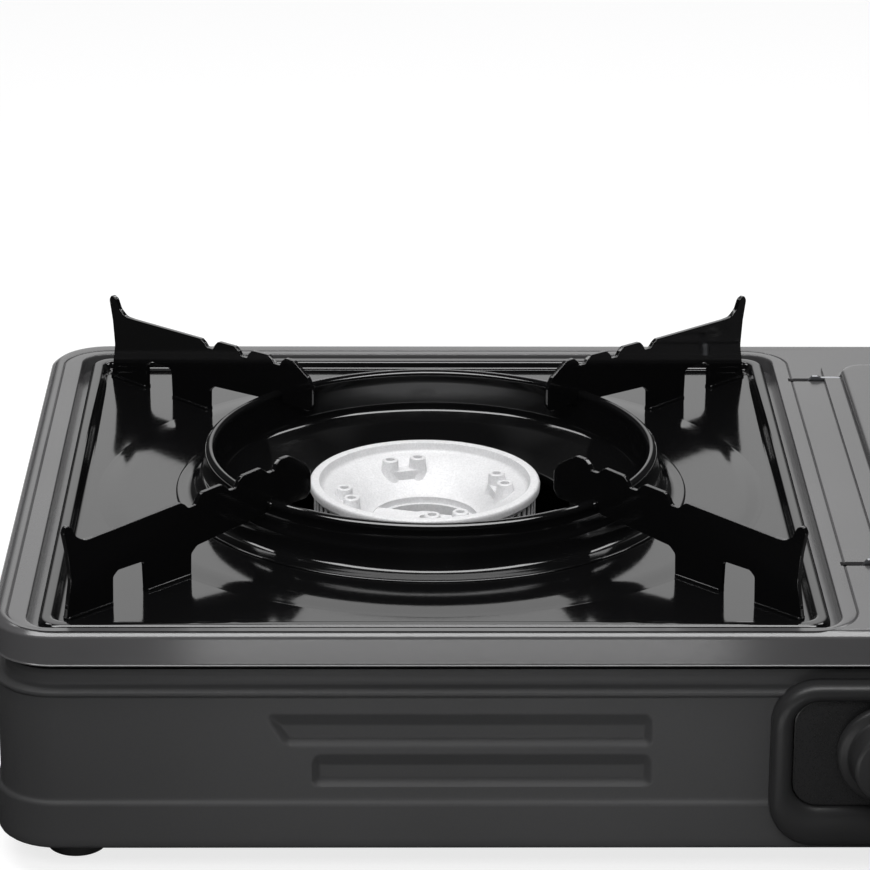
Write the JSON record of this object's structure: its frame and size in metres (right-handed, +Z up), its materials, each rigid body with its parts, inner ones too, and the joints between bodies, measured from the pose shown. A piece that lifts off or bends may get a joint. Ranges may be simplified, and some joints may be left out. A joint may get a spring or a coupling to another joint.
{
  "type": "butane cassette stove",
  "caption": "Tabletop butane stove: grey steel case with a lidded cartridge bay, knob and lock lever, and a lift-out black enamel tray with a pan ring and stepped pan supports.",
  "frame": {"origin": "on the ground under the middle of the bounding box", "axes": "+X to the right, along the width, +Y to the back, +Z up; the knob and the lock lever face -Y"},
  "size_m": [0.344, 0.286, 0.1082],
  "materials": {
    "black_enamel": "gloss",
    "cover_grey": "satin",
    "panel_grey": "matt",
    "black_plastic": "matt",
    "face_plastic": "gloss",
    "rubber_foot": "matt",
    "rubber_seal": "matt",
    "cast_aluminium": "blasted",
    "zinc_steel": "satin",
    "screw_steel": "satin",
    "brass": "satin",
    "white_ceramic": "satin",
    "lead_sleeve": "satin"
  },
  "bodies": {
    "case": {"lower_case": "panel_grey", "top_cover": "cover_grey", "heat_partition": "zinc_steel", "control_bezel": "black_plastic", "bezel_face": "face_plastic", "foot_front_left": "rubber_foot", "foot_front_right": "rubber_foot", "foot_back_left": "rubber_foot", "foot_back_right": "rubber_foot", "foot_screws": "screw_steel", "case_screws": "screw_steel", "burner_head": "cast_aluminium", "burner_bridge": "cast_aluminium", "burner_base": "cast_aluminium", "burner_stand": "zinc_steel", "stand_screws": "screw_steel", "mixing_tube": "zinc_steel", "tube_saddle": "zinc_steel", "gas_jet": "brass", "electrode_rod": "screw_steel", "electrode_ceramic": "white_ceramic", "electrode_bracket": "zinc_steel", "ignition_lead": "lead_sleeve", "piezo_igniter": "black_plastic", "heat_strip": "cast_aluminium", "valve_body": "cast_aluminium", "regulator_body": "cast_aluminium", "regulator_diaphragm": "rubber_seal", "regulator_spring": "screw_steel", "regulator_cap": "cast_aluminium", "cap_screws": "screw_steel", "inlet_socket": "brass", "inlet_seal": "rubber_seal", "regulator_bracket": "zinc_steel", "cartridge_cradle": "zinc_steel", "pusher_guides": "zinc_steel", "hinge_brackets": "zinc_steel", "hinge_rod": "zinc_steel", "lever_pivot_pin": "screw_steel"},
    "lid": {"lid": "cover_grey", "lid_ears": "zinc_steel", "lid_catch": "black_plastic"},
    "knob": {"knob": "black_plastic", "knob_spindle": "screw_steel"},
    "lever": {"lock_lever": "zinc_steel", "lever_tip": "black_plastic", "lever_drive_pin": "screw_steel"},
    "carriage": {"cartridge_pusher": "zinc_steel"},
    "pan_tray": {"drip_tray": "black_enamel", "pan_ring": "black_enamel", "pan_support_front_left": "black_enamel", "pan_support_front_right": "black_enamel", "pan_support_back_left": "black_enamel", "pan_support_back_right": "black_enamel"}
  },
  "joints": [
    {"name": "lid_hinge", "type": "hinge", "parent": "case", "child": "lid", "pos_m": [0.0955, 0.0129, 0.076], "axis": [0, -1, 0], "range_deg": [0, 92]},
    {"name": "knob_turn", "type": "hinge", "parent": "case", "child": "knob", "pos_m": [0.098, -0.12, 0.0438], "axis": [0, -1, 0], "range_deg": [0, 150]},
    {"name": "lever_pivot", "type": "hinge", "parent": "case", "child": "lever", "pos_m": [0.1505, -0.084, 0.042], "axis": [1, 0, 0], "range_deg": [0, 28]},
    {"name": "pusher_slide", "type": "slide", "parent": "case", "child": "carriage", "axis": [0, -1, 0], "range_m": [0, 0.0071]},
    {"name": "tray_lift", "type": "slide", "parent": "case", "child": "pan_tray", "axis": [0, 0, 1], "range_m": [0, 0.06]}
  ],
  "couplings": [
    {"joint": "pusher_slide", "follows": "lever_pivot", "m_per_rad": 0.014324}
  ]
}
